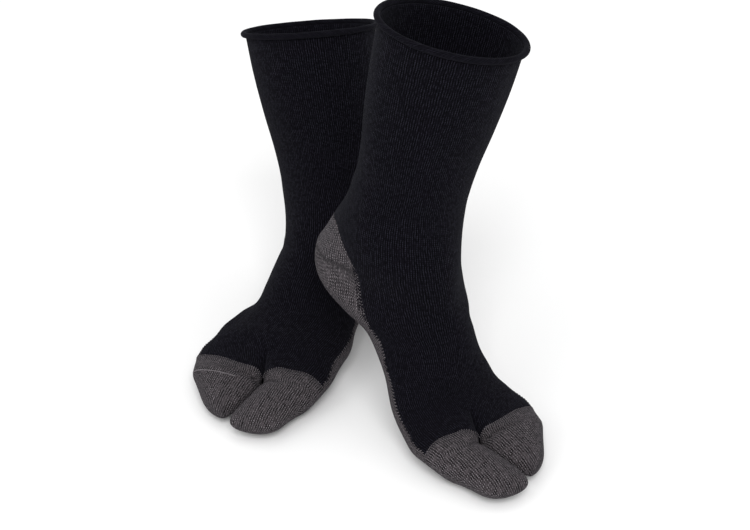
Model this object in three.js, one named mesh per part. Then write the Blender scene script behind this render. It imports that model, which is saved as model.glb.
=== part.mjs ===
// A pair of split-toe bunion relief socks, worn: crew length, black, with cushioned grey heels, soles and
// toe pockets. Millimetres, +Z up. The wearer faces -Y, so +X is the wearer's left. The origin is the
// middle of the right sock's leg opening, where the wearer's leg holds the pair up. Each sock is five
// hollow knitted pieces with an open inside.
import * as THREE from "three";
import { mergeVertices } from "three/addons/utils/BufferGeometryUtils.js";

// ---- Driving dimensions ----
const KNIT_WALL = 1.5; // the fine black knit
const CUSHION_WALL = 2.2; // the grey knit with terry loops inside
const SEAM_GAP = 0.4; // between two pieces along a seam
const HEEL_SEAM_GAP = 0.72; // along the heel's slanting top edge, where the two walls lean together
const SLIT_GAP = 0.9; // between the two toe pockets where they part
const ROLL_RADIUS = 2.2; // section of the leg's rolled top edge
const ROLL_PROUD = 1.1; // how far the roll's middle stands out of the leg's skin
const WELD = 1e-4; // points closer than this are one point

// ---- One sock's form: a general foot, standing flat ----
// x runs to the little-toe side, y to the toes and z up, with the ankle joint at y = 0. Each row is one
// section of the sock, numbered by its station, roughly the millimetres down the instep from the hem. The
// section crosses the front line (shin, then instep) at front and the back line (calf, heel, then sole)
// at back; inner and outer are its half widths to the big-toe and little-toe sides, and crest is how far
// the instep's crest lies to the little-toe side.
const COLUMNS = ["station", "frontY", "frontZ", "backY", "backZ", "inner", "outer", "crest"];
const SECTIONS = [
  [0, 42.5, 203.5, -43.5, 203.5, 46.5, 47.5, 0],
  [30, 41, 177.5, -40.5, 177.5, 46, 46, 0],
  [60, 39, 151.5, -37, 151.5, 43.5, 43, 0],
  [88, 37, 127.5, -32.5, 127, 40, 40, 0],
  [112, 38.5, 109, -31.5, 102.5, 37.5, 37.5, 0],
  [132, 40, 96.5, -34.5, 82, 38.5, 38, 0],
  [150, 45, 87, -43.5, 60, 39, 38.5, 0],
  [167, 51.5, 79, -48, 37, 37.5, 37.5, -1],
  [184, 56.5, 70.5, -48.5, 14, 36.5, 36, -3],
  [200, 63, 62.5, -36, 1, 36.5, 39.5, -5],
  [216, 71, 56.5, -11.5, 2, 35.5, 39.5, -5.5],
  [235, 81.5, 50.5, 17, 8, 33.5, 40.5, -6],
  [255, 93, 44, 47, 8.5, 33, 44.5, -5.5],
  [275, 106.5, 39, 77, 4.5, 39, 48.5, -5],
  [293, 120.5, 36, 101.5, 0.5, 47.5, 48, -3],
  [308, 130.5, 30, 121.5, 0, 55.5, 49.5, 1],
  [322, 140, 26.5, 137, 0, 57, 47.5, 3.5],
].map((row) => Object.fromEntries(COLUMNS.map((name, i) => [name, row[i]])));
const CROTCH = SECTIONS.at(-1).station; // where the tube parts into the two toe pockets
const HEEL_ROUND = 2.15; // superellipse power of the heel cup's section, 2 being an ellipse
const TOE_SWEEP = 0.0014; // how the foot's end sweeps back to the big-toe side, per mm of width squared
const DIP_DEPTH = 8; // the cleft between the big toe and the rest, leading the instep into the slit
const DIP_WIDTH = 2; // how far from the cleft's bottom it is about a third as deep
const DIP_FROM = 300; // the station where the cleft starts

// ---- Toe pockets, from the crotch forwards ----
// side is -1 for the big toe and 1 for the other four. The tip lies tipX to the little-toe side and the
// pocket is length long and tipHeight thick at its tip. slitPower and outerPower say how bluntly its two
// edges close on the tip, and waist is how far its outer edge is drawn in halfway.
const POCKETS = {
  big: { side: -1, length: 39.3, tipX: -3.3, tipHeight: 17.5, slitPower: 3.3, outerPower: 0.95, waist: 2.5 },
  four: { side: 1, length: 49, tipX: 11, tipHeight: 21, slitPower: 7.1, outerPower: 3.6, waist: 7 },
};
const SLIT_LEAN = 7; // how far the slit bends to the big-toe side on its way forwards
const POCKET_TOP_POWER = 3.3; // how bluntly a pocket's top and underside close
const POCKET_ROUNDING = 0.22; // over this share of its length a pocket's section turns into an ellipse

// ---- Seam lines ----
// The grey heel and sole panel meets the black knit along sideAngle, measured round the section from the
// front line, and its top edge rises towards the back of the heel by heelRise stations, over heelTurn
// degrees past the corner.
const HEEL_CORNER = 174;
const HEEL_RISE = 24;
const HEEL_TURN = 38;
const BENT_FROM = 100; // the knit's courses bend up to the heel's top edge from this station...
const BENT_TO = 235; // ...and are straight again here
const SIDE_LINE = [
  { station: HEEL_CORNER, angle: 77 },
  { station: 200, angle: 71 },
  { station: 228, angle: 80 },
  { station: 256, angle: 91 },
  { station: 290, angle: 82 },
  { station: CROTCH, angle: 72 },
];

// The toe pockets are linked on along a line that runs forward of the last station, by this many stations
// at each angle from the crest, counted to the little-toe side.
const TOE_SEAM = [
  { angle: -180, forward: 0 },
  { angle: -90, forward: -1 },
  { angle: -45, forward: 0.5 },
  { angle: -10, forward: 5 },
  { angle: 2, forward: 5 },
  { angle: 18, forward: -1.5 },
  { angle: 45, forward: -5.5 },
  { angle: 80, forward: -2.5 },
  { angle: 110, forward: -0.5 },
  { angle: 180, forward: 0 },
];
const TOE_SEAM_FROM = 270; // the courses start to bend to that line here

// ---- The two socks' poses, in degrees and millimetres ----
// heading turns the toes from straight ahead to the wearer's left. heelLift bends the foot at the ball,
// and the shin leans back (pitch), sideways (roll) and turns (twist) at the ankle. at is where the ankle
// stands. spread widens the foot under load, arch lifts its sole, and hem is how the leg's top is pulled:
// up, and tilted along y and x.
const POSES = {
  right: {
    side: 1,
    heading: 36.7,
    heelLift: 31.9,
    shin: { pitch: 25.8, roll: -10.6, twist: -12.5 },
    at: [-16, 37.7],
    spread: 0.885,
    arch: 9.4,
    hem: { up: 2.6, alongY: -0.019, alongX: -0.027 },
  },
  left: {
    side: -1,
    heading: -23.5,
    heelLift: 0,
    shin: { pitch: 10.6, roll: -15.9, twist: 3.8 },
    at: [-22, 123],
    spread: 0.935,
    arch: -0.8,
    hem: { up: 1.2, alongY: 0.03, alongX: -0.09 },
  },
};
const ANKLE = new THREE.Vector3(0, 0, 60);
const ANKLE_BEND = [118, 205]; // the stations over which the ankle bends
const BALL = new THREE.Vector3(0, 118.5, 9.5);
const BALL_BEND = [262, 312];
const LOADED = [200, 250]; // the foot's spread comes in over these stations
const ARCH_SPAN = [205, 240, 255, 300];
const HEM_SPAN = [0, 90];

// ---- Facets ----
const LEG_STATIONS = [0, 16, 36, 58, 80, 100, 116, 130, 143, 154, 164, HEEL_CORNER];
const FOOT_STATIONS = [HEEL_CORNER, 182, 190, 198, 208, 220, 235, 250, 265, 280, 294, 308, CROTCH];
const FRONT_FACETS = 16;
const CREST_CLOSENESS = 0.6; // how much closer together the front facets lie on the crest: 0 is even
const BACK_FACETS = 12;
const POCKET_STEPS = [0, 0.07, 0.16, 0.34, 0.52, 0.68, 0.82, 0.93, 1];
const SLIT_FACETS = 6;
const ROLL_SIDES = 8;

const degrees = THREE.MathUtils.degToRad;
const smooth = (x, from, to) => THREE.MathUtils.smoothstep(x, from, to);
const power = (value, exponent) => Math.sign(value) * Math.abs(value) ** exponent;

/** Every column of the table at a station, joined by a smooth curve that runs on straight at its end. */
function section(wanted) {
  const last = SECTIONS.length - 1;
  const station = THREE.MathUtils.clamp(wanted, 0, CROTCH);
  const i = Math.max(1, SECTIONS.findIndex((row) => row.station >= station)) - 1;
  const rise = (a, b, name) => SECTIONS[b][name] - SECTIONS[a][name];
  const span = (a, b, name) => rise(a, b, name) / rise(a, b, "station");
  const slope = (k, name) => span(Math.max(k - 1, 0), Math.min(k + 1, last), name);
  const step = SECTIONS[i + 1].station - SECTIONS[i].station;
  const u = (station - SECTIONS[i].station) / step;
  const blend = (name) =>
    (2 * u ** 3 - 3 * u ** 2 + 1) * SECTIONS[i][name] +
    (u ** 3 - 2 * u ** 2 + u) * step * slope(i, name) +
    (3 * u ** 2 - 2 * u ** 3) * SECTIONS[i + 1][name] +
    (u ** 3 - u ** 2) * step * slope(i + 1, name) +
    Math.max(0, wanted - CROTCH) * slope(last, name);
  return Object.fromEntries(COLUMNS.map((name) => [name, blend(name)]));
}

/** A point of the unposed skin: angle 0 is the front line, growing to the little-toe side. */
function skin(station, angle, pose) {
  const row = section(station);
  const load = 1 + (pose.spread - 1) * smooth(station, ...LOADED);
  const [archFrom, archFull, archEases, archTo] = ARCH_SPAN;
  const arch = smooth(station, archFrom, archFull) * (1 - smooth(station, archEases, archTo));
  const backZ = row.backZ + pose.arch * arch;
  const isBack = Math.cos(angle) < 0;
  const heel = smooth(station, 120, 185) * (1 - smooth(station, 190, 260));
  const round = isBack ? 2 + (HEEL_ROUND - 2) * heel : 2;
  const along = power(Math.cos(angle), 2 / round);
  const across = power(Math.sin(angle), 2 / round) * (Math.sin(angle) >= 0 ? row.outer : row.inner) * load;
  const x = across + (row.crest * (1 + along)) / 2;
  const sweep = TOE_SWEEP * smooth(station, 262, CROTCH) * Math.min(x, 0) ** 2;
  const y = (row.frontY + row.backY) / 2 + ((row.frontY - row.backY) / 2) * along - sweep;
  const fromCrest = Math.abs(x - row.crest) / DIP_WIDTH;
  const dip = DIP_DEPTH * smooth(station, DIP_FROM, CROTCH) * Math.exp(-fromCrest);
  const z = (row.frontZ + backZ) / 2 + ((row.frontZ - backZ) / 2) * along - (isBack ? 0 : dip);
  const pull = 1 - smooth(station, ...HEM_SPAN);
  return new THREE.Vector3(x, y, z + pull * (pose.hem.alongY * y + pose.hem.alongX * x + pose.hem.up));
}

/** Turns a point about a pivot by a share of a rotation vector, in degrees. */
function bend(point, pivot, vector, share) {
  const axis = vector.clone().normalize();
  return point.sub(pivot).applyAxisAngle(axis, degrees(vector.length()) * share).add(pivot);
}

/** Bends the ankle and the ball of the foot, then stands the sock where it is worn. */
function worn(point, station, pose) {
  const shin = new THREE.Vector3(pose.shin.pitch, pose.shin.roll, pose.shin.twist);
  bend(point, ANKLE, shin, 1 - smooth(station, ...ANKLE_BEND));
  bend(point, BALL, new THREE.Vector3(-pose.heelLift || -1e-9, 0, 0), 1 - smooth(station, ...BALL_BEND));
  point.x *= pose.side;
  point.applyAxisAngle(new THREE.Vector3(0, 0, 1), Math.PI + degrees(pose.heading));
  return point.add(new THREE.Vector3(pose.at[0], pose.at[1], 0));
}

/** How many stations forward the toe seam runs at an angle in degrees, eased between TOE_SEAM's rows. */
function toeSeam(angle) {
  const turned = ((((angle + 180) % 360) + 360) % 360) - 180;
  const i = Math.max(1, TOE_SEAM.findIndex((row) => row.angle >= turned));
  const [a, b] = [TOE_SEAM[i - 1], TOE_SEAM[i]];
  return a.forward + (b.forward - a.forward) * smooth(turned, a.angle, b.angle);
}

/** The foot's end, where the toe pockets are linked on, at an angle in degrees. */
const toeEnd = (angle, pose) => skin(CROTCH + toeSeam(angle), degrees(angle), pose);

/** The seam's angle at a station, by straight lines between the rows of SIDE_LINE. */
function sideAngle(station) {
  const i = Math.max(1, SIDE_LINE.findIndex((row) => row.station >= station));
  const [a, b] = [SIDE_LINE[i - 1], SIDE_LINE[i]];
  const share = THREE.MathUtils.clamp((station - a.station) / (b.station - a.station), 0, 1);
  return a.angle + (b.angle - a.angle) * share;
}

/** The worn skin at a course and an angle: courses bend to the heel's top edge and the toe seam. */
function fabric(course, angle, pose) {
  const turned = Math.abs(((angle + 540) % 360) - 180);
  const pastCorner = THREE.MathUtils.clamp((turned - sideAngle(course)) / HEEL_TURN, 0, 1);
  const rise = HEEL_RISE * Math.sin((Math.PI / 2) * pastCorner);
  const bentOver = course < HEEL_CORNER ? HEEL_CORNER - BENT_FROM : BENT_TO - HEEL_CORNER;
  const bent = THREE.MathUtils.clamp(1 - Math.abs(course - HEEL_CORNER) / bentOver, 0, 1);
  const forward = toeSeam(angle) * smooth(course, TOE_SEAM_FROM, CROTCH);
  const station = course - rise * bent + forward;
  return worn(skin(station, degrees(angle), pose), station, pose);
}

/**
 * A point of a toe pocket's skin: u runs from the crotch to the tip, and turn round it in degrees, from the
 * crest over the outside to the sole at 180 and back up the slit to the crest at 360.
 */
function pocketSkin(pocket, u, turn, pose) {
  const around = (turn + 360) % 360;
  const isOutside = around <= 180;
  const top = toeEnd(0, pose);
  const sole = toeEnd(180, pose);
  const base = isOutside ? toeEnd(around * pocket.side, pose) : sole.clone().lerp(top, around / 180 - 1);
  const edge = toeEnd(90 * pocket.side, pose).x;
  const slit = top.x + (pocket.side * SLIT_GAP) / 2;
  const middleZ = (top.z + DIP_DEPTH) / 2;
  const q = Math.sin((Math.PI / 2) * u);
  const close = (blunt) => Math.sqrt(Math.max(0, 1 - q ** blunt));
  const inX = pocket.tipX + (slit - pocket.tipX - SLIT_LEAN * q ** 2) * close(pocket.slitPower);
  const drawnIn = pocket.waist * (4 * q * (1 - q)) ** 2;
  const outX = pocket.tipX + (edge - pocket.tipX) * close(pocket.outerPower) - pocket.side * drawnIn;
  const width = Math.abs(outX - inX) / 2;
  const centre = (outX + inX) / 2;
  const centreZ = middleZ * (1 - q) + (pocket.tipHeight / 2) * q;
  const height = centreZ * close(POCKET_TOP_POWER);
  const squeezed = base.clone();
  squeezed.x = inX + ((outX - inX) * (base.x - top.x)) / (edge - top.x);
  squeezed.z = centreZ + (base.z - middleZ) * (height / middleZ);
  squeezed.y += pocket.length * q;
  const rounded = new THREE.Vector3(
    centre + pocket.side * Math.sin(degrees(around)) * width,
    top.y + pocket.length * q,
    centreZ + Math.cos(degrees(around)) * height,
  );
  return worn(squeezed.lerp(rounded, smooth(q, 0, POCKET_ROUNDING)), CROTCH, pose);
}

/** A point and its outward normal, from a skin function of two parameters. */
function withNormal(skinAt, a, b, stepA, stepB, outward) {
  const alongA = skinAt(a + stepA, b).sub(skinAt(a - stepA, b));
  const alongB = skinAt(a, b + stepB).sub(skinAt(a, b - stepB));
  return { point: skinAt(a, b), normal: alongB.cross(alongA).normalize().multiplyScalar(outward) };
}

/** Triangles gathered into one closed body, turned to face outwards. */
class Body {
  corners = [];

  triangle(a, b, c) {
    if (a.distanceTo(b) < WELD || b.distanceTo(c) < WELD || c.distanceTo(a) < WELD) return;
    this.corners.push(a, b, c);
  }

  quad(a, b, c, d) {
    this.triangle(a, b, c);
    this.triangle(a, c, d);
  }

  mesh(name, material, origin) {
    const points = this.corners.map((corner) => corner.clone().sub(origin));
    let volume = 0;
    for (let i = 0; i < points.length; i += 3) {
      volume += points[i].dot(points[i + 1].clone().cross(points[i + 2]));
    }
    const order = volume > 0 ? [0, 1, 2] : [0, 2, 1];
    const facing = points.map((_, i) => points[i - (i % 3) + order[i % 3]]);
    const geometry = mergeVertices(new THREE.BufferGeometry().setFromPoints(facing), WELD);
    geometry.computeVertexNormals();
    const mesh = new THREE.Mesh(geometry, material);
    mesh.name = name;
    return mesh;
  }
}

/** A wall over the cells of a grid of { outer, inner } points, with a rim where a cell has no neighbour. */
function wall(grid, hasCell, isRound) {
  const body = new Body();
  const columns = grid[0].length;
  const wrap = (j) => (isRound ? (j + columns) % columns : j);
  const isInside = (i, j) => i >= 0 && i < grid.length - 1 && (isRound || (j >= 0 && j < columns - 1));
  const cells = (i, j) => isInside(i, j) && hasCell(i, wrap(j));
  for (let i = 0; i < grid.length - 1; i++) {
    for (let j = 0; j < (isRound ? columns : columns - 1); j++) {
      if (!cells(i, j)) continue;
      const next = wrap(j + 1);
      const [a, b, c, d] = [grid[i][j], grid[i + 1][j], grid[i + 1][next], grid[i][next]];
      body.quad(a.outer, b.outer, c.outer, d.outer);
      body.quad(d.inner, c.inner, b.inner, a.inner);
      const rims = [
        [cells(i - 1, j), d, a],
        [cells(i + 1, j), b, c],
        [cells(i, j - 1), a, b],
        [cells(i, j + 1), c, d],
      ];
      for (const [hasNeighbour, from, to] of rims) {
        if (!hasNeighbour) body.quad(to.outer, from.outer, from.inner, to.inner);
      }
    }
  }
  return body;
}

/** Both faces of the wall at a course and an angle of the sock's tube. */
function tubeWall(course, angle, thickness, pose) {
  const { point, normal } = withNormal((a, b) => fabric(a, b, pose), course, angle, 0.5, 0.5, pose.side);
  return { outer: point, inner: point.clone().addScaledVector(normal, -thickness) };
}

/** Angles of the front facets, from one side seam over the front line to the other, closer on top. */
function frontAngles(course) {
  const shares = Array.from({ length: FRONT_FACETS + 1 }, (_, k) => (2 * k) / FRONT_FACETS - 1);
  const spread = (share) => share * (1 - CREST_CLOSENESS + CREST_CLOSENESS * share ** 2);
  return shares.map((share) => sideAngle(course) * spread(share));
}

/** Angles of the back facets, from the little-toe side's seam over the back line to the other. */
function backAngles(course, inset) {
  const side = sideAngle(course) + inset;
  return Array.from({ length: BACK_FACETS + 1 }, (_, k) => side + ((360 - 2 * side) * k) / BACK_FACETS);
}

/** The black leg and instep: a whole tube down to the heel, and its front alone from there to the toes. */
function leg(pose) {
  const courses = [...LEG_STATIONS, ...FOOT_STATIONS.slice(1, -1), CROTCH - 1.5 * SEAM_GAP];
  const grid = courses.map((course) => {
    const angles = [...frontAngles(course), ...backAngles(course, 0).slice(1, -1)];
    return angles.map((angle) => tubeWall(course, angle, KNIT_WALL, pose));
  });
  return wall(grid, (i, j) => i < LEG_STATIONS.length - 1 || j < FRONT_FACETS, true);
}

/** The grey heel cup and sole strip in one panel. */
function heelSole(pose) {
  const courses = [HEEL_CORNER + HEEL_SEAM_GAP, ...FOOT_STATIONS.slice(1, -1), CROTCH - 1.5 * SEAM_GAP];
  const grid = courses.map((course) => {
    const row = section(course);
    const reach = Math.min(row.outer, (row.frontZ - row.backZ) / 2);
    const inset = THREE.MathUtils.radToDeg((1.5 * SEAM_GAP) / reach);
    return backAngles(course, inset).map((angle) => tubeWall(course, angle, CUSHION_WALL, pose));
  });
  return wall(grid, () => true, false);
}

/** A toe pocket: a cup, open towards the foot. Along the toe seam its wall turns with the foot's own. */
function toePocket(pocket, pose) {
  const outward = pose.side * pocket.side;
  const ahead = worn(new THREE.Vector3(0, 1, 0), CROTCH, pose).sub(worn(new THREE.Vector3(), CROTCH, pose));
  const round = [...frontAngles(CROTCH), ...backAngles(CROTCH, 0).slice(1)];
  const outside = round.filter((angle) => angle > -1 && angle < 181);
  const slit = Array.from({ length: SLIT_FACETS - 1 }, (_, k) => 180 * (1 + (k + 1) / SLIT_FACETS));
  const turns = [...outside, ...slit];
  const grid = POCKET_STEPS.map((u) =>
    turns.map((turn) => {
      const point = pocketSkin(pocket, u, turn, pose);
      const isSeam = u === 0 && turn > 1 && turn < 179;
      const away = THREE.MathUtils.clamp(u, 0.005, 0.995);
      const { normal } = isSeam
        ? withNormal((a, b) => fabric(a, b, pose), CROTCH, turn * pocket.side, 0.5, 0.5, pose.side)
        : withNormal((a, b) => pocketSkin(pocket, a, b, pose), away, turn, 0.004, 2, outward);
      if (u === 0 && !isSeam) normal.addScaledVector(ahead, -normal.dot(ahead)).normalize();
      return { outer: point, inner: point.clone().addScaledVector(normal, -CUSHION_WALL) };
    }),
  );
  const tip = grid.at(-1);
  for (const corner of tip) corner.inner = tip[0].outer.clone().addScaledVector(ahead, -CUSHION_WALL);
  return wall(grid, () => true, true);
}

/** The leg's top edge, rolled outwards: a round section carried round the opening. */
function hemRoll(pose) {
  const columns = FRONT_FACETS + BACK_FACETS;
  const angles = [...frontAngles(0), ...backAngles(0, 0).slice(1, -1)];
  const sections = angles.map((angle) => {
    const { point, normal } = withNormal((a, b) => fabric(a, b, pose), 0, angle, 0.5, 0.5, pose.side);
    const up = fabric(0, angle, pose).sub(fabric(1, angle, pose)).normalize();
    const middle = point.addScaledVector(up, ROLL_RADIUS + SEAM_GAP).addScaledVector(normal, ROLL_PROUD);
    return Array.from({ length: ROLL_SIDES }, (_, k) => {
      const turn = (2 * Math.PI * (k + 0.5)) / ROLL_SIDES;
      return middle
        .clone()
        .addScaledVector(normal, Math.cos(turn) * ROLL_RADIUS)
        .addScaledVector(up, Math.sin(turn) * ROLL_RADIUS);
    });
  });
  const body = new Body();
  for (let i = 0; i < columns; i++) {
    for (let k = 0; k < ROLL_SIDES; k++) {
      const [here, next] = [sections[i], sections[(i + 1) % columns]];
      const above = (k + 1) % ROLL_SIDES;
      body.quad(here[k], next[k], next[above], here[above]);
    }
  }
  return body;
}

/** The middle of a sock's leg opening. */
const opening = (pose) => fabric(0, 0, pose).add(fabric(0, 180, pose)).multiplyScalar(0.5);

const blackKnit = () => new THREE.MeshStandardMaterial({ color: 0x17161b, roughness: 0.95, metalness: 0 });
const greyKnit = () => new THREE.MeshStandardMaterial({ color: 0x474446, roughness: 0.95, metalness: 0 });

const origin = opening(POSES.right);
const pair = new THREE.Group();
for (const [name, pose] of Object.entries(POSES)) {
  const sock = new THREE.Group();
  sock.add(
    leg(pose).mesh(`${name}_leg`, blackKnit(), origin),
    hemRoll(pose).mesh(`${name}_hem_roll`, blackKnit(), origin),
    heelSole(pose).mesh(`${name}_heel_sole`, greyKnit(), origin),
    toePocket(POCKETS.big, pose).mesh(`${name}_toe_big`, greyKnit(), origin),
    toePocket(POCKETS.four, pose).mesh(`${name}_toe_four`, greyKnit(), origin),
  );
  pair.add(sock);
}

export default pair;
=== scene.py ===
# %% [markdown]
# # A pair of split-toe bunion relief socks
# Each sock is knitted in five stretches: a fine black leg and instep, a leg top that rolls over by
# itself, a cushioned grey heel and sole, and two grey toe pockets. Worn, the knit is a thin smooth skin
# over the foot, so this scene works the skin out from a few sections, gives it a wall, and then adds what
# a knitter adds: wales and courses, float stitches along the colour joins, linked seams over the toes,
# and a few soft creases where the foot bends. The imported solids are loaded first. They stay the frame
# that everything else is fitted to.

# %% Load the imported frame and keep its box
import math

import bmesh
import bpy
import numpy as np
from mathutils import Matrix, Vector


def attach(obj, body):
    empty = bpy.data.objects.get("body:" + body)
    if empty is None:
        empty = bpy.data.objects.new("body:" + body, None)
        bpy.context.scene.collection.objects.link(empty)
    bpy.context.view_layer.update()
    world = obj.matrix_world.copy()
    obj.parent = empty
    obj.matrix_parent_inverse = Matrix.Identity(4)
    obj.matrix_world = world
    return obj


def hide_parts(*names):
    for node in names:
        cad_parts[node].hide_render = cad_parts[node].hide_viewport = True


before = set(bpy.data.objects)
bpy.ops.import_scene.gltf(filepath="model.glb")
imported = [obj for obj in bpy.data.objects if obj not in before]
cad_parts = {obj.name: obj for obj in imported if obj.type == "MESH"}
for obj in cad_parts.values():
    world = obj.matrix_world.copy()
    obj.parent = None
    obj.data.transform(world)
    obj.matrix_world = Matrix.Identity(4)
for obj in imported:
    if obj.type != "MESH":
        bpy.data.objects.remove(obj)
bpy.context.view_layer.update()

MM = 0.001
print("solids:", sorted(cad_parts))

# %% [markdown]
# ## The sock's form
# A knitter draws a sock as a tube with a section every few centimetres. This table does the same, in
# millimetres, for a general foot standing flat: each row is the section at one station down the instep.
# It crosses the front line (shin, then instep) at front and the back line (calf, heel, then sole) at
# back, and inner and outer are its half widths to the big-toe and little-toe sides. A smooth curve joins
# the rows, which is why so few of them are enough.

# %% The sections of the sock
COLUMNS = ["station", "front_y", "front_z", "back_y", "back_z", "inner", "outer", "crest"]
SECTIONS = np.array([
    [0, 42.5, 203.5, -43.5, 203.5, 46.5, 47.5, 0],
    [30, 41, 177.5, -40.5, 177.5, 46, 46, 0],
    [60, 39, 151.5, -37, 151.5, 43.5, 43, 0],
    [88, 37, 127.5, -32.5, 127, 40, 40, 0],
    [112, 38.5, 109, -31.5, 102.5, 37.5, 37.5, 0],
    [132, 40, 96.5, -34.5, 82, 38.5, 38, 0],
    [150, 45, 87, -43.5, 60, 39, 38.5, 0],
    [167, 51.5, 79, -48, 37, 37.5, 37.5, -1],
    [184, 56.5, 70.5, -48.5, 14, 36.5, 36, -3],
    [200, 63, 62.5, -36, 1, 36.5, 39.5, -5],
    [216, 71, 56.5, -11.5, 2, 35.5, 39.5, -5.5],
    [235, 81.5, 50.5, 17, 8, 33.5, 40.5, -6],
    [255, 93, 44, 47, 8.5, 33, 44.5, -5.5],
    [275, 106.5, 39, 77, 4.5, 39, 48.5, -5],
    [293, 120.5, 36, 101.5, 0.5, 47.5, 48, -3],
    [308, 130.5, 30, 121.5, 0, 55.5, 49.5, 1],
    [322, 140, 26.5, 137, 0, 57, 47.5, 3.5],
])
STATIONS = SECTIONS[:, 0]
CROTCH = STATIONS[-1]  # where the tube parts into the two toe pockets
HEEL_ROUND = 2.15
TOE_SWEEP = 0.0014
SWEEP_FROM = 262
DIP_DEPTH, DIP_WIDTH, DIP_FROM = 8, 2, 300  # the hollow that leads the instep into the slit

# Stations between which a change comes in, and those between which it fades out again.
SPREAD_IN = (200, 250)
ARCH_IN, ARCH_OUT = (205, 240), (255, 300)
HEEL_IN, HEEL_OUT = (120, 185), (190, 260)
HEM_TILT_OUT = (0, 90)

# The grey heel and sole meet the black knit along this angle, in degrees from the front line.
HEEL_CORNER, HEEL_RISE, HEEL_TURN = 174, 24, 38
BENT_FROM, BENT_TO = 100, 235
SIDE_STATIONS = [174, 200, 228, 256, 290, 322]
SIDE_ANGLES = [77, 71, 80, 91, 82, 72]

# The toe pockets are linked on along a line that runs this many stations forward at each angle.
TOE_SEAM_ANGLES = np.array([-180, -90, -45, -10, 2, 18, 45, 80, 110, 180])
TOE_SEAM_FORWARD = np.array([0, -1, 0.5, 5, 5, -1.5, -5.5, -2.5, -0.5, 0])
TOE_SEAM_FROM = 270
print(len(SECTIONS), "sections over", CROTCH, "mm of instep")

# %% [markdown]
# The two socks are mirror images of one cut, and only their poses differ. The right heel is lifted and
# the foot bends at the ball, while the left foot stands flat. Each pose is a handful of angles, applied
# as two soft bends.

# %% The two poses
POSES = {
    "right": {
        "side": 1, "heading": 36.7, "heel_lift": 31.9, "shin": (25.8, -10.6, -12.5), "at": (-16, 37.7),
        "spread": 0.885, "arch": 9.4, "hem_up": 2.6, "hem_along_y": -0.019, "hem_along_x": -0.027,
    },
    "left": {
        "side": -1, "heading": -23.5, "heel_lift": 0, "shin": (10.6, -15.9, 3.8), "at": (-22, 123),
        "spread": 0.935, "arch": -0.8, "hem_up": 1.2, "hem_along_y": 0.03, "hem_along_x": -0.09,
    },
}
ANKLE, ANKLE_BEND = np.array([0, 0, 60]), (118, 205)
BALL, BALL_BEND = np.array([0, 118.5, 9.5]), (262, 312)


def smooth(x, start, end):
    """0 before start, 1 after end, with a soft S between."""
    share = np.clip((x - start) / (end - start), 0, 1)
    return share * share * (3 - 2 * share)


def signed_power(value, exponent):
    return np.sign(value) * np.abs(value) ** exponent


def eased(x, places, values):
    """The value at x, with a soft S between each two places."""
    places, values = np.asarray(places, float), np.asarray(values, float)
    i = np.clip(np.searchsorted(places, x, side="left"), 1, len(places) - 1)
    return values[i - 1] + (values[i] - values[i - 1]) * smooth(x, places[i - 1], places[i])


print("poses:", ", ".join(POSES))

# %% [markdown]
# ## From table to skin
# `section` joins the rows with a curve, `skin` turns a section into a ring of points, and `worn` bends
# the ankle and the ball and stands the sock on the floor. They take whole arrays, so one call gives every
# point of a piece.


# %% The skin of the tube
def section(station):
    """Every column of the table at a station, running on straight past the last row."""
    at = np.clip(station, 0, CROTCH)
    i = np.clip(np.searchsorted(STATIONS, at, side="left") - 1, 0, len(STATIONS) - 2)
    slopes = np.empty_like(SECTIONS)
    slopes[1:-1] = (SECTIONS[2:] - SECTIONS[:-2]) / (STATIONS[2:] - STATIONS[:-2])[:, None]
    slopes[0] = (SECTIONS[1] - SECTIONS[0]) / (STATIONS[1] - STATIONS[0])
    slopes[-1] = (SECTIONS[-1] - SECTIONS[-2]) / (STATIONS[-1] - STATIONS[-2])
    step = (STATIONS[i + 1] - STATIONS[i])[..., None]
    u = (at - STATIONS[i])[..., None] / step
    rows = (2 * u**3 - 3 * u**2 + 1) * SECTIONS[i] + (u**3 - 2 * u**2 + u) * step * slopes[i]
    rows = rows + (3 * u**2 - 2 * u**3) * SECTIONS[i + 1] + (u**3 - u**2) * step * slopes[i + 1]
    rows = rows + np.maximum(0, station - CROTCH)[..., None] * slopes[-1]
    return dict(zip(COLUMNS, np.moveaxis(rows, -1, 0)))


def skin(station, angle, pose):
    """Points of the unposed skin; angle is in degrees from the front, growing to the little-toe side."""
    station, angle = np.broadcast_arrays(np.asarray(station, float), np.asarray(angle, float))
    row = section(station)
    turn = np.radians(angle)
    load = 1 + (pose["spread"] - 1) * smooth(station, *SPREAD_IN)
    back_z = row["back_z"] + pose["arch"] * smooth(station, *ARCH_IN) * (1 - smooth(station, *ARCH_OUT))
    heel = smooth(station, *HEEL_IN) * (1 - smooth(station, *HEEL_OUT))
    is_back = np.cos(turn) < 0
    roundness = np.where(is_back, 2 + (HEEL_ROUND - 2) * heel, 2)
    along = signed_power(np.cos(turn), 2 / roundness)
    half_width = np.where(np.sin(turn) >= 0, row["outer"], row["inner"])
    x = signed_power(np.sin(turn), 2 / roundness) * half_width * load + row["crest"] * (1 + along) / 2
    sweep = TOE_SWEEP * smooth(station, SWEEP_FROM, CROTCH) * np.minimum(x, 0) ** 2
    y = (row["front_y"] + row["back_y"]) / 2 + (row["front_y"] - row["back_y"]) / 2 * along - sweep
    dip = DIP_DEPTH * smooth(station, DIP_FROM, CROTCH) * np.exp(-np.abs(x - row["crest"]) / DIP_WIDTH)
    z = (row["front_z"] + back_z) / 2 + (row["front_z"] - back_z) / 2 * along - np.where(is_back, 0, dip)
    pull = 1 - smooth(station, *HEM_TILT_OUT)
    z = z + pull * (pose["hem_along_y"] * y + pose["hem_along_x"] * x + pose["hem_up"])
    return np.stack([x, y, z], axis=-1)


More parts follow.
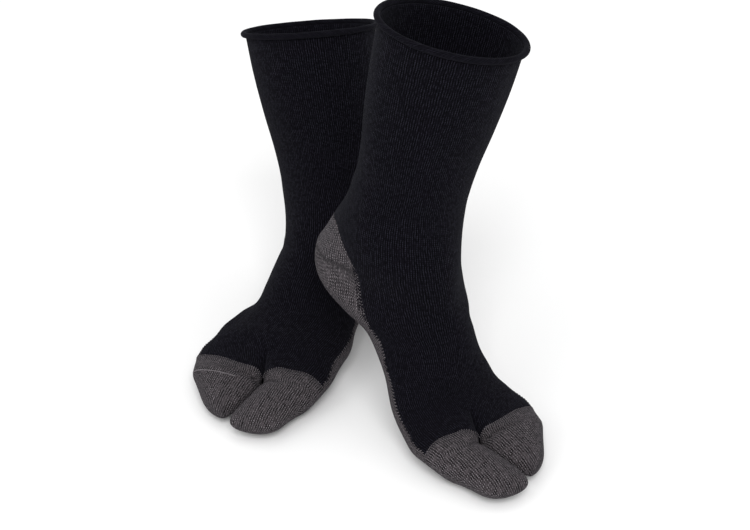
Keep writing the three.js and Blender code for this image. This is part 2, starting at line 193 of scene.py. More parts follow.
def turned(points, pivot, rotation, share):
    """Points turned about a pivot by a share of a rotation vector in degrees."""
    degrees = np.linalg.norm(rotation)
    if degrees == 0:
        return points
    axis = np.asarray(rotation, float) / degrees
    turn = (np.radians(degrees) * share)[..., None]
    arm = points - pivot
    across = np.cross(np.broadcast_to(axis, arm.shape), arm)
    along = axis * (arm @ axis)[..., None]
    return pivot + arm * np.cos(turn) + across * np.sin(turn) + along * (1 - np.cos(turn))


def worn(points, station, pose):
    """Bends the ankle and the ball, then stands the sock where it is worn."""
    station = np.broadcast_to(station, points.shape[:-1])
    points = turned(points, ANKLE, pose["shin"], 1 - smooth(station, *ANKLE_BEND))
    points = turned(points, BALL, (-pose["heel_lift"], 0, 0), 1 - smooth(station, *BALL_BEND))
    x, y, z = np.moveaxis(points, -1, 0)
    heading = math.pi + math.radians(pose["heading"])
    cos, sin = math.cos(heading), math.sin(heading)
    x = x * pose["side"]
    return np.stack([x * cos - y * sin + pose["at"][0], x * sin + y * cos + pose["at"][1], z], axis=-1)


def toe_seam(angle):
    return eased((angle + 180) % 360 - 180, TOE_SEAM_ANGLES, TOE_SEAM_FORWARD)


def side_angle(course):
    return np.interp(course, SIDE_STATIONS, SIDE_ANGLES)


def station_of(course, angle):
    """The station that a course passes at an angle: courses bend to the heel's top and the toe seam."""
    past_corner = (np.abs((angle + 540) % 360 - 180) - side_angle(course)) / HEEL_TURN
    rise = HEEL_RISE * np.sin(math.pi / 2 * np.clip(past_corner, 0, 1))
    share = np.interp(course, [BENT_FROM, HEEL_CORNER, BENT_TO], [0, 1, 0])
    return course - rise * share + toe_seam(angle) * smooth(course, TOE_SEAM_FROM, CROTCH)


def fabric(course, angle, pose):
    """Points of the worn skin, in millimetres."""
    course, angle = np.broadcast_arrays(np.asarray(course, float), np.asarray(angle, float))
    station = station_of(course, angle)
    return worn(skin(station, angle, pose), station, pose)


ORIGIN = (fabric(0, 0, POSES["right"]) + fabric(0, 180, POSES["right"])) / 2
FLOOR_Z = -ORIGIN[2] * MM
print("middle of the right leg opening, above the floor:", round(ORIGIN[2], 1), "mm")

# %% [markdown]
# ## The toe pockets
# A pocket starts from the foot's end as half of its ring, closed by a flat wall along the slit, and its
# section turns into an ellipse on the way to the tip. u runs from the slit's bottom to the tip, and turn
# goes round the pocket in degrees: over the outside from the crest to the sole at 180, and back up the
# slit to the crest at 360.

# %% The skin of a toe pocket
POCKETS = {
    "big": {"side": -1, "length": 39.3, "tip_x": -3.3, "tip_height": 17.5,
            "slit": 3.3, "outer": 0.95, "waist": 2.5},
    "four": {"side": 1, "length": 49, "tip_x": 11, "tip_height": 21,
             "slit": 7.1, "outer": 3.6, "waist": 7},
}
SLIT_GAP, SLIT_LEAN = 1.4, 7
POCKET_TOP_POWER, POCKET_ROUNDING = 3.3, 0.22


def toe_end(angle, pose):
    return skin(CROTCH + toe_seam(angle), angle, pose)


def pocket_skin(pocket, u, turn, pose):
    """Points of a pocket's skin before and after it is worn: (its own frame, worn)."""
    u, turn = np.broadcast_arrays(np.asarray(u, float), np.asarray(turn, float))
    side, around = pocket["side"], turn % 360
    top, sole = toe_end(np.array(0.0), pose), toe_end(np.array(180.0), pose)
    base_outside = toe_end(np.minimum(around, 180) * side, pose)
    base_slit = sole + (top - sole) * np.clip(around / 180 - 1, 0, 1)[..., None]
    base = np.where((around <= 180)[..., None], base_outside, base_slit)
    edge = toe_end(np.array(90.0 * side), pose)[0]
    slit = top[0] + side * SLIT_GAP / 2
    middle_z = (top[2] + DIP_DEPTH) / 2
    q = np.sin(math.pi / 2 * u)

    def close(blunt):
        return np.sqrt(np.maximum(0, 1 - np.abs(q) ** blunt))

    tip_x = pocket["tip_x"]
    in_x = tip_x + (slit - tip_x - SLIT_LEAN * q**2) * close(pocket["slit"])
    drawn_in = side * pocket["waist"] * 16 * q**2 * (1 - q) ** 2
    out_x = tip_x + (edge - tip_x) * close(pocket["outer"]) - drawn_in
    width, centre = np.abs(out_x - in_x) / 2, (out_x + in_x) / 2
    centre_z = middle_z * (1 - q) + pocket["tip_height"] / 2 * q
    height = centre_z * close(POCKET_TOP_POWER)
    squeezed = np.stack([
        in_x + (out_x - in_x) * (base[..., 0] - top[0]) / (edge - top[0]),
        base[..., 1] + pocket["length"] * q,
        centre_z + (base[..., 2] - middle_z) * height / middle_z,
    ], axis=-1)
    rounded = np.stack([
        centre + side * np.sin(np.radians(around)) * width,
        top[1] + pocket["length"] * q,
        centre_z + np.cos(np.radians(around)) * height,
    ], axis=-1)
    own = squeezed + (rounded - squeezed) * smooth(q, 0, POCKET_ROUNDING)[..., None]
    return own, worn(own, CROTCH, pose)


for name, pocket in POCKETS.items():
    tip = pocket_skin(pocket, 1, 0, POSES["right"])[1] - ORIGIN
    print(name, "toe pocket's tip on the right foot, mm:", tip.round(1))

# %% [markdown]
# ## Creases
# Cotton with elastane fits closely, so a worn sock has few folds, and they are shallow: across the front
# of the ankle, behind it where the lifted heel slackens the cloth, over the ball where the toes bend, and
# under the arch. Each is a soft trough or ridge laid on the skin. course and angle give its
# middle, turn its direction (0 runs round the foot, 90 runs along it), and length, width and depth its
# size in millimetres. A minus depth is a ridge. The last four rows are no creases but broad swells and
# hollows, which round off the sides of the foot and the ankle.

# %% Soft creases, one row each
CREASE_COLUMNS = ["sock", "course", "angle", "turn", "length", "width", "depth"]
CREASES = [
    ("right", 131, 176, 4, 52, 4.2, 0.9),
    ("right", 120, -164, -6, 40, 3.6, 0.6),
    ("right", 142, 150, 10, 34, 3.4, 0.55),
    ("right", 125, 118, 24, 46, 6.0, -0.6),
    ("right", 108, 128, 74, 64, 7.0, 0.8),
    ("right", 112, -130, -72, 58, 6.5, 0.7),
    ("right", 158, 24, -14, 40, 5.0, 0.35),
    ("right", 226, 168, 5, 34, 4.4, 0.6),
    ("right", 242, -172, -8, 40, 5.0, 0.7),
    ("right", 290, -40, 12, 34, 3.6, 0.5),
    ("right", 298, 44, -10, 30, 3.2, 0.45),
    ("right", 18, -36, 80, 40, 6.0, 0.35),
    ("left", 186, -33, -6, 26, 2.6, 1.1),
    ("left", 179, -31, -4, 30, 3.0, -0.45),
    ("left", 140, -20, -8, 38, 3.6, 0.3),
    ("left", 148, 30, 10, 46, 4.4, 0.5),
    ("left", 141, 62, 16, 30, 3.4, 0.45),
    ("left", 118, 170, 3, 42, 4.0, 0.5),
    ("left", 106, 132, 76, 60, 7.0, 0.7),
    ("left", 110, -128, -74, 54, 6.5, 0.6),
    ("left", 232, 166, -6, 38, 4.4, 0.5),
    ("left", 292, 40, -8, 32, 3.6, 0.4),
    ("left", 24, 40, 84, 36, 6.0, 0.3),
    ("left", 285, 108, 92, 38, 10.0, -2.2),
    ("left", 276, -68, 84, 34, 9.0, -3.0),
    ("right", 194, -43, 80, 44, 9.0, -2.0),
    ("right", 268, -69, 94, 36, 9.0, 2.2),
]
MM_PER_DEGREE = 0.7  # of a section some 40 mm in radius


def crease_depth(sock, course, angle):
    """How far the skin is pressed in at a course and an angle."""
    depth = np.zeros(np.broadcast(course, angle).shape)
    for row in CREASES:
        crease = dict(zip(CREASE_COLUMNS, row))
        if crease["sock"] != sock:
            continue
        round_it = ((angle - crease["angle"] + 180) % 360 - 180) * MM_PER_DEGREE
        down_it = course - crease["course"]
        cos, sin = math.cos(math.radians(crease["turn"])), math.sin(math.radians(crease["turn"]))
        lengthwise = (round_it * cos + down_it * sin) / (crease["length"] / 2)
        crosswise = (down_it * cos - round_it * sin) / crease["width"]
        bow = 0.35 * lengthwise**2
        depth += crease["depth"] * np.exp(-((crosswise - bow) ** 2) - lengthwise**4)
    return depth


print(len(CREASES), "creases, deepest", max(row[-1] for row in CREASES), "mm")

# %% [markdown]
# ## A wall from a grid of points
# Every stretch of knit becomes a mesh in the same way: a grid of skin points joined by quads, then a
# Solidify modifier that grows the wall inwards, so that the outside stays exactly on the skin. The
# stitches have to follow the cloth through every bend, so each corner also keeps its place in the knit as
# a UV: x counts the wales (the columns of stitches) and y counts the courses (the rows). The needles of
# the machine fix the number of wales round the leg.

# %% Grids, normals and walls
NEEDLES, FRONT_NEEDLES = 176, 75  # wales round the leg, and on its front
WALE_MM, COURSE_MM = 1.6, 1.3  # width of one wale and height of one course
KNIT_WALL, CUSHION_WALL = 1.5, 2.2
SKIN_STEPS, POCKET_STEPS = (0.5, 0.5), (0.003, 1.5)  # how far apart a slope is measured, in each parameter
GAP = 0.15  # between the outsides of two linked pieces, though their walls may lean together within, mm


def outward(surface, a, b, step_a, step_b, sign):
    """Unit normals of a surface of two parameters."""
    along_a = surface(a + step_a, b) - surface(a - step_a, b)
    along_b = surface(a, b + step_b) - surface(a, b - step_b)
    normal = np.cross(along_b, along_a) * sign
    return normal / np.linalg.norm(normal, axis=-1, keepdims=True)


def skin_normals(sock, course, angle):
    pose = POSES[sock]
    return outward(lambda a, b: fabric(a, b, pose), course, angle, *SKIN_STEPS, pose["side"])


def pocket_normals(pocket, u, turn, pose):
    sign = pose["side"] * pocket["side"]
    return outward(lambda a, b: pocket_skin(pocket, a, b, pose)[1], u, turn, *POCKET_STEPS, sign)


def length_along(points):
    """The length from the first point of each row to every point of it."""
    steps = np.linalg.norm(np.diff(points, axis=1), axis=-1)
    return np.concatenate([np.zeros((len(points), 1)), np.cumsum(steps, axis=1)], axis=1)


def mesh_object(name, points, faces, knit_uv=None):
    """A mesh object from points in millimetres, with the knit's UV at each face corner."""
    mesh = bpy.data.meshes.new(name)
    mesh.from_pydata(((points - ORIGIN) * MM).tolist(), [], faces)
    if knit_uv is not None:
        layer = mesh.uv_layers.new(name="knit")
        corners = np.array([knit_uv[i] for face in faces for i in face], dtype=np.float32)
        layer.data.foreach_set("uv", corners.ravel())
    for polygon in mesh.polygons:
        polygon.use_smooth = True
    piece = bpy.data.objects.new(name, mesh)
    bpy.context.scene.collection.objects.link(piece)
    return piece


def knitted_wall(name, points, knit, normals, wall, is_round=False, cut=None):
    """A wall over a grid of skin points; cut(i, j) says which cells are left out."""
    rows, columns = points.shape[:2]
    if is_round:  # the last column repeats the first, so that the UV has a seam to end at
        points = np.concatenate([points, points[:, :1]], axis=1)
        normals = np.concatenate([normals, normals[:, :1]], axis=1)
        columns += 1
    faces = []
    for i in range(rows - 1):
        for j in range(columns - 1):
            if cut is None or not cut(i, j):
                here, below = i * columns + j, (i + 1) * columns + j
                faces.append((here, below, below + 1, here + 1))
    corner = points[1, 1] - points[0, 0]
    facing = np.cross(points[1, 0] - points[0, 0], corner)
    if facing @ normals[0, 0] < 0:
        faces = [face[::-1] for face in faces]
    piece = mesh_object(name, points.reshape(-1, 3), faces, knit.reshape(-1, 2))
    shape = bmesh.new()
    shape.from_mesh(piece.data)
    bmesh.ops.remove_doubles(shape, verts=shape.verts, dist=0.01 * MM)
    bmesh.ops.delete(shape, geom=[v for v in shape.verts if not v.link_faces], context="VERTS")
    shape.to_mesh(piece.data)
    shape.free()
    solidify = piece.modifiers.new("wall", "SOLIDIFY")
    solidify.thickness = wall * MM
    solidify.offset = -1
    print(name, len(piece.data.polygons), "cells")
    return piece


# %% [markdown]
# ## Leg, heel and sole
# The leg is a whole tube down to the heel's corner, and from there only its front goes on, as the instep.
# The heel and sole are one panel that fills the notch. A sock's heel is knitted to and fro in short rows,
# so its courses fold along a slanting gore line from the corner to the back of the heel: level above it,
# upright below it.

# %% The leg and instep
FRONT_CELLS, BACK_CELLS = 104, 88
CREST_CLOSENESS = 0.5  # how much closer together the columns are along the instep's crest
LEG_COURSES = np.linspace(0, HEEL_CORNER, 88)
FOOT_COURSES = np.linspace(HEEL_CORNER, CROTCH, 75)


def front_angles(course):
    share = np.linspace(-1, 1, FRONT_CELLS + 1)
    return side_angle(course) * share * (1 - CREST_CLOSENESS + CREST_CLOSENESS * share**2)


def back_angles(course, inset=0):
    side = side_angle(course) + inset
    return side + (360 - 2 * side) * np.linspace(0, 1, BACK_CELLS + 1)


def even_count(points, count):
    """The wales counted along each row of points, evenly spaced by length."""
    length = length_along(points)
    return length / length[:, -1:] * count


def wale_count(points, is_round):
    """The front of the leg carries its share of the needles, and the back the rest."""
    if not is_round:
        return even_count(points, NEEDLES - FRONT_NEEDLES)
    front = even_count(points[:, :FRONT_CELLS + 1], FRONT_NEEDLES)
    back_points = np.concatenate([points[:, FRONT_CELLS:], points[:, :1]], axis=1)
    back = FRONT_NEEDLES + even_count(back_points, NEEDLES - FRONT_NEEDLES)
    return np.concatenate([front, back[:, 1:-1]], axis=1)


def tube_piece(name, sock, courses, angles, wall, **options):
    """A stretch of the tube's wall, with its creases and its count of wales and courses."""
    course = np.broadcast_to(courses[:, None], angles.shape)
    normals = skin_normals(sock, course, angles)
    points = fabric(course, angles, POSES[sock]) - normals * crease_depth(sock, course, angles)[..., None]
    knit = options.pop("knit", None)
    if knit is None:
        knit = np.stack([wale_count(points, True), course / COURSE_MM], axis=-1)
    if options.get("is_round"):
        closing = knit[:, :1] + np.array([NEEDLES, 0])
        knit = np.concatenate([knit, closing], axis=1)
    return knitted_wall(name, points, knit, normals, wall, **options)


def leg_piece(sock):
    courses = np.concatenate([LEG_COURSES, FOOT_COURSES[1:-1], [CROTCH - GAP]])
    angles = np.array([np.concatenate([front_angles(c), back_angles(c)[1:-1]]) for c in courses])
    below = len(LEG_COURSES) - 1
    return tube_piece(
        f"{sock}_leg_knit", sock, courses, angles, KNIT_WALL, is_round=True,
        cut=lambda i, j: i >= below and j >= FRONT_CELLS,
    )


legs = {sock: leg_piece(sock) for sock in POSES}

# %% The heel and sole
GORE_CORNER, GORE_BACK = (14, 56), (-49, 12)  # y and z of the gore line's ends, foot flat, mm
HEEL_CUP_SHARE = 0.68  # the cup's stitches are stretched wide, so fewer lie in the same length
PANEL_INSET = 0.25  # degrees between the black knit's edge and the grey panel's


def heel_sole_piece(sock):
    courses = np.concatenate([[HEEL_CORNER + GAP], FOOT_COURSES[1:-1], [CROTCH - GAP]])
    angles = np.array([back_angles(c, inset=PANEL_INSET) for c in courses])
    course = np.broadcast_to(courses[:, None], angles.shape)
    flat_foot = skin(station_of(course, angles), angles, POSES[sock])
    slope = (GORE_CORNER[1] - GORE_BACK[1]) / (GORE_CORNER[0] - GORE_BACK[0])
    gore_z = GORE_BACK[1] + slope * (flat_foot[..., 1] - GORE_BACK[0])
    is_above = (flat_foot[..., 2] > gore_z) & (flat_foot[..., 1] < GORE_CORNER[0])
    rows = np.where(is_above, GORE_CORNER[1] - flat_foot[..., 2], GORE_CORNER[1] + flat_foot[..., 1])
    wales = FRONT_NEEDLES + wale_count(fabric(course, angles, POSES[sock]), False)
    coarser = np.where(is_above, HEEL_CUP_SHARE, 1)
    knit = np.stack([wales * coarser, rows / COURSE_MM * coarser], axis=-1)
    return tube_piece(f"{sock}_heel_sole_knit", sock, courses, angles, CUSHION_WALL, knit=knit)


heel_soles = {sock: heel_sole_piece(sock) for sock in POSES}

# %% [markdown]
# ## Toe pockets
# The pockets are cups. Their wales run forward and on over the tip, so the wale count changes from going
# round the pocket to going straight ahead as the tip comes near. Across the top of each pocket goes the
# linked seam that closed the knitted tube: a fine ridge with a pucker of small pleats beside it, most
# marked over the left big toe.

# %% The toe pockets, with their linked seams
POCKET_ROWS, POCKET_COLUMNS = 50, 68  # columns over the top, and as many under the sole
SEAM_COLUMNS = ["sock", "pocket", "ahead", "middle", "ridge", "pucker"]
LINKED_SEAMS = [  # the middle of the seam, ahead of the ankle and across the foot, and its relief, in mm
    ("left", "big", 155.5, -20, 0.6, 0.45),
    ("left", "four", 155.5, 20, 0.3, 0.3),
    ("right", "big", 153, -20, 0.15, 0.15),
    ("right", "four", 151, 20, 0.3, 0.2),
]
SEAM_BOW, SEAM_HALF = 3, 22  # a seam falls back by the first at its ends, the second from its middle, mm
RIDGE_WIDTH, PUCKER_AHEAD, PUCKER_WIDTH = 0.75, 2.2, 1.9
PLEAT_MM = 3.1
SLOPED = (0.006, 0.994)  # the part of a pocket's length over which its slope can be measured


def linked_seam(sock, name):
    return next(dict(zip(SEAM_COLUMNS, row)) for row in LINKED_SEAMS if row[:2] == (sock, name))


def past_seam(seam, own):
    """How far a point of a pocket lies ahead of its linked seam."""
    bow = SEAM_BOW * ((own[..., 0] - seam["middle"]) / SEAM_HALF) ** 2
    return own[..., 1] - seam["ahead"] + bow


def straight_wales(own, middle):
    """Wales that run straight ahead over half a pocket, counted along each row from its middle line."""
    length = length_along(own)
    x = own[..., 0] * np.sign(own[0, -1, 0] - own[0, 0, 0])
    middle = middle * np.sign(own[0, -1, 0] - own[0, 0, 0])
    at_middle = np.array([np.interp(middle, x_row, row) for x_row, row in zip(x, length)])
    return (length - at_middle[:, None]) / WALE_MM


def pocket_piece(sock, name):
    pose, pocket = POSES[sock], POCKETS[name]
    share = np.linspace(0, 1, POCKET_ROWS)
    u = (1.9 * share - 0.9 * share**2)[:, None]
    over_top, under = np.linspace(-90, 90, POCKET_COLUMNS), np.linspace(90, 270, POCKET_COLUMNS)
    turn = np.concatenate([over_top, under])[None, :]
    u, turn = np.broadcast_arrays(u, turn)
    own, points = pocket_skin(pocket, u, turn, pose)
    inner = np.clip(u, *SLOPED)
    normals = pocket_normals(pocket, inner, turn, pose)
    along = np.cumsum(np.linalg.norm(np.diff(points, axis=0, prepend=points[:1]), axis=-1), axis=0)

    seam = linked_seam(sock, name)
    is_top = smooth(np.cos(np.radians(turn)), -0.15, 0.25)
    ahead = past_seam(seam, own)
    pleats = np.sin(own[..., 0] * 2 * math.pi / PLEAT_MM + 1.3 * np.sin(own[..., 0] * 0.7))
    pucker = seam["pucker"] * (0.6 + 0.4 * pleats) * np.exp(-(((ahead - PUCKER_AHEAD) / PUCKER_WIDTH) ** 2))
    ridge = seam["ridge"] * np.exp(-((ahead / RIDGE_WIDTH) ** 2))
    points = points + normals * ((ridge - pucker) * is_top)[..., None]

    top, sole = own[:, :POCKET_COLUMNS], own[:, POCKET_COLUMNS:]
    halves = [straight_wales(half, pocket["tip_x"]) for half in (top, sole)]
    knit = np.stack([np.concatenate(halves, axis=1), along / COURSE_MM], axis=-1)
    return knitted_wall(
        f"{sock}_toe_{name}_knit", points, knit, normals, CUSHION_WALL,
        cut=lambda i, j: j == POCKET_COLUMNS - 1,
    )


toe_pockets = {(sock, name): pocket_piece(sock, name) for sock in POSES for name in POCKETS}

# %% [markdown]
# ## The rolled leg top
# The leg has no ribbed cuff: the knit's cut edge curls outwards by itself, as plain knitting does, and
# shows its back, the purl side. It is made as a round section carried round the opening, a little uneven
# because nothing holds it.

# %% The rolled hems
ROLL_RADIUS, ROLL_PROUD, ROLL_SUNK = 2.2, 1.1, 0.7
ROLL_COLUMNS, ROLL_ROWS = 260, 20
ROLL_SWELLS = [(3, 0.08, 0.4), (7, 0.05, 1.9), (13, 0.035, 0.3)]  # waves round it, height in mm, start


def hem_roll_piece(sock):
    pose = POSES[sock]
    angle = np.linspace(0, 360, ROLL_COLUMNS, endpoint=False)
    start = np.zeros_like(angle)
    normals = skin_normals(sock, start, angle)
    up = fabric(0, angle, pose) - fabric(1, angle, pose)
    up = up / np.linalg.norm(up, axis=-1, keepdims=True)
    swell = sum(size * np.sin(np.radians(angle * waves) + start) for waves, size, start in ROLL_SWELLS)
    radius = ROLL_RADIUS - 0.1 + swell
    middle = fabric(0, angle, pose) + up * (ROLL_RADIUS - ROLL_SUNK) + normals * ROLL_PROUD
    turn = np.linspace(0, 2 * math.pi, ROLL_ROWS + 1)[:, None]
    outside = np.cos(turn)[..., None] * normals + np.sin(turn)[..., None] * up
    points = middle + radius[:, None] * outside
    wales = np.linspace(0, NEEDLES, ROLL_COLUMNS + 1)
    rows = np.linspace(0, 2 * math.pi * ROLL_RADIUS / COURSE_MM, ROLL_ROWS + 1)
    knit = np.stack(np.broadcast_arrays(0.9 * wales[None, :] + rows[:, None], rows[:, None]), axis=-1)
    piece = knitted_wall(f"{sock}_hem_roll_knit", points, knit, outside, KNIT_WALL, is_round=True)
    piece.modifiers.clear()  # the roll is a closed ring already
    return piece


hem_rolls = {sock: hem_roll_piece(sock) for sock in POSES}

# %% [markdown]
# ## Yarns and finishes
# Two yarns make the pair. The black is a fine combed cotton with a little elastane: matt, nearly neutral,
# with a faint bluish sheen where its fibres catch the light at the edge. The grey is a thicker charcoal
# cotton with terry loops behind it, so its stitches are plumper. Both have painted shade in their grooves
# and a painted highlight on their stitch crowns. One helper adds a node, and one turns hex to linear.

# %% Helpers for materials and node trees


def linear(hex_colour):
    """An sRGB colour such as '474446' as linear RGBA."""
    channels = [int(hex_colour[i:i + 2], 16) / 255 for i in (0, 2, 4)]
    return [c / 12.92 if c <= 0.04045 else ((c + 0.055) / 1.055) ** 2.4 for c in channels] + [1]


def add(tree, kind, inputs=None, **settings):
    """Adds one node, sets its settings, and fills or links its inputs."""
    node = tree.nodes.new(kind)
    for name, value in settings.items():
        setattr(node, name, value)
    for name, value in (inputs or {}).items():
        if isinstance(value, bpy.types.NodeSocket):
            tree.links.new(value, node.inputs[name])
        else:
            node.inputs[name].default_value = value
    return node


WAVE_TO_COUNT = 2 * math.pi / 20  # the scale at which a Wave Texture has one band for each unit
print("mid grey in linear light:", round(linear("808080")[0], 3))


def knitted_yarn(name, yarn, painted_groove_shade, painted_crown_highlight, relief, sheen, depth, rough, gloss, fuzz, strand_y):
    """Plain knitting: columns of small V-shaped stitches, read from the piece's own knit count."""
    material = bpy.data.materials.new(name)
    material.use_nodes = True
    tree = material.node_tree
    tree.nodes.clear()
    place = add(tree, "ShaderNodeUVMap", uv_map="knit")
    count = add(tree, "ShaderNodeSeparateXYZ", {0: place.outputs["UV"]})
    wobble = add(tree, "ShaderNodeTexNoise", {"Vector": place.outputs["UV"], "Scale": 0.23, "Detail": 2})
    drift = add(tree, "ShaderNodeMath", {0: wobble.outputs["Fac"], 1: 0.9, 2: count.outputs["X"]},
                operation="MULTIPLY_ADD")
    wale = add(tree, "ShaderNodeCombineXYZ", {"X": drift.outputs[0]})
    columns = add(tree, "ShaderNodeTexWave", {"Vector": wale.outputs[0], "Scale": WAVE_TO_COUNT})
    slant = add(tree, "ShaderNodeMath", {0: drift.outputs[0], 1: 0.5}, operation="PINGPONG")
    course = add(tree, "ShaderNodeMath", {0: slant.outputs[0], 1: 1.3, 2: count.outputs["Y"]},
                 operation="MULTIPLY_ADD")
    row = add(tree, "ShaderNodeCombineXYZ", {"X": course.outputs[0]})
    rows = add(tree, "ShaderNodeTexWave", {"Vector": row.outputs[0], "Scale": WAVE_TO_COUNT})
    stitch = add(tree, "ShaderNodeMath", {0: rows.outputs["Fac"], 1: depth, 2: 1 - depth},
                 operation="MULTIPLY_ADD")
    height = add(tree, "ShaderNodeMath", {0: columns.outputs["Fac"], 1: stitch.outputs[0]},
                 operation="MULTIPLY")

    # Short fibres lie along the wales. They half hide the stitches in some places and leave them clear in
    # others.
    strand = add(tree, "ShaderNodeVectorMath", {0: place.outputs["UV"], 1: (1, strand_y, 1)},
                 operation="MULTIPLY")
    breaks = add(tree, "ShaderNodeTexNoise", {"Vector": strand.outputs[0], "Scale": 0.45, "Detail": 2})
    clearness = add(tree, "ShaderNodeMapRange", {
        0: breaks.outputs["Fac"], 1: 0.4, 2: 0.6, 3: 0.25, 4: 1.2,
    })
    lifted = add(tree, "ShaderNodeMath", {0: height.outputs[0], 1: 0.4}, operation="SUBTRACT")
    clear = add(tree, "ShaderNodeMath", {0: lifted.outputs[0], 1: clearness.outputs[0], 2: 0.4},
                operation="MULTIPLY_ADD")
    fibre = add(tree, "ShaderNodeTexNoise", {
        "Vector": strand.outputs[0], "Scale": 0.9, "Detail": 3, "Roughness": 0.7,
    })
    grain = add(tree, "ShaderNodeMapRange", {
        0: fibre.outputs["Fac"], 1: 0.3, 2: 0.7, 3: -fuzz / 2, 4: fuzz / 2,
    })
    loft = add(tree, "ShaderNodeMath", {0: grain.outputs[0], 1: clear.outputs[0]}, operation="ADD")
    # Painted shade and highlight: the colour is darkest in the hollows between stitches (the groove colour,
    # painted shade) and lightest on their raised crowns (the crown colour, painted highlight), mixed with
    # the fibres' own mottle, which is real tone.
    painted_relief_colour = add(tree, "ShaderNodeValToRGB", {0: loft.outputs[0]})
    ramp = painted_relief_colour.color_ramp
    ramp.elements[0].position, ramp.elements[0].color = 0.05, linear(painted_groove_shade)
    ramp.elements[1].position, ramp.elements[1].color = 0.45, linear(yarn)
    painted_highlight_stop = ramp.elements.new(1.0)
    painted_highlight_stop.color = linear(painted_crown_highlight)
    patch = add(tree, "ShaderNodeTexNoise", {"Vector": place.outputs["UV"], "Scale": 0.07, "Detail": 3})
    patches = add(tree, "ShaderNodeMapRange", {0: patch.outputs["Fac"], 1: 0.3, 2: 0.7, 3: 0.93, 4: 1.07})
    colour = add(tree, "ShaderNodeVectorMath", {
        0: painted_relief_colour.outputs["Color"], "Scale": patches.outputs[0],
    }, operation="SCALE")
    bump = add(tree, "ShaderNodeBump", {
        "Height": loft.outputs[0], "Strength": 1.0, "Distance": relief * MM,
    })
    cloth = add(tree, "ShaderNodeBsdfPrincipled", {
        "Base Color": colour.outputs[0], "Roughness": rough, "Normal": bump.outputs[0],
        "Specular IOR Level": gloss, "Sheen Weight": sheen, "Sheen Roughness": 0.45,
        "Sheen Tint": linear("b9bccb"),
    })
    add(tree, "ShaderNodeOutputMaterial", {"Surface": cloth.outputs[0]})
    return material


# %% The finishes
# Combed cotton jersey: wales 1.6 mm and courses 1.3 mm apart, nearly flat, with painted shade in its
# grooves and a faint painted highlight on its stitch crowns.
black_jersey = knitted_yarn("black combed cotton jersey", yarn="0c0b10", painted_groove_shade="030304", painted_crown_highlight="24232c",
                            relief=0.35, sheen=0.04, depth=0.5, rough=0.95, gloss=0.02, fuzz=0.45,
                            strand_y=0.6)
# The same yarn seen from its back on the roll, where the purl bumps stand out more, with the same painted
# groove shade and crown highlight.
black_purl = knitted_yarn("black cotton purl side", yarn="0e0d12", painted_groove_shade="050507", painted_crown_highlight="1a1920",
                          relief=0.15, sheen=0.04, depth=0.3, rough=0.95, gloss=0.02, fuzz=0.5,
                          strand_y=0.35)
# Terry-backed cotton: the same gauge in a thicker, mottled charcoal yarn, with strong painted shade in its
# grooves and a painted highlight on its crowns.
grey_terry = knitted_yarn("grey terry-backed cotton", yarn="4a4548", painted_groove_shade="121011", painted_crown_highlight="918b8f",
                          relief=0.7, sheen=0.05, depth=0.9, rough=0.95, gloss=0.08, fuzz=0.5, strand_y=1)

for sock in POSES:
    legs[sock].data.materials.append(black_jersey)
    hem_rolls[sock].data.materials.append(black_purl)
    heel_soles[sock].data.materials.append(grey_terry)
for pocket in toe_pockets.values():
    pocket.data.materials.append(grey_terry)
print("finishes:", [m.name for m in bpy.data.materials if m.users])

# %% [markdown]
# ## Stitches along the seams
# Where the colours meet, the machine carries each yarn a few needles past the join, and these floats show
# as short slanting dashes. The toe pockets are linked on with small grey stitches too. Each could be
# modelled by hand, but they all do the same: sit at an even spacing on a line, stand on the cloth, and
# lean by some angle. Geometry Nodes say that once: resample the line, turn each point to the skin's
# normal, and set a small arch of yarn on it.

# %% A node tree that sews along a line
STITCH_SIZES = ["Spacing", "Length", "Height", "Thickness", "Lean", "Unevenness"]


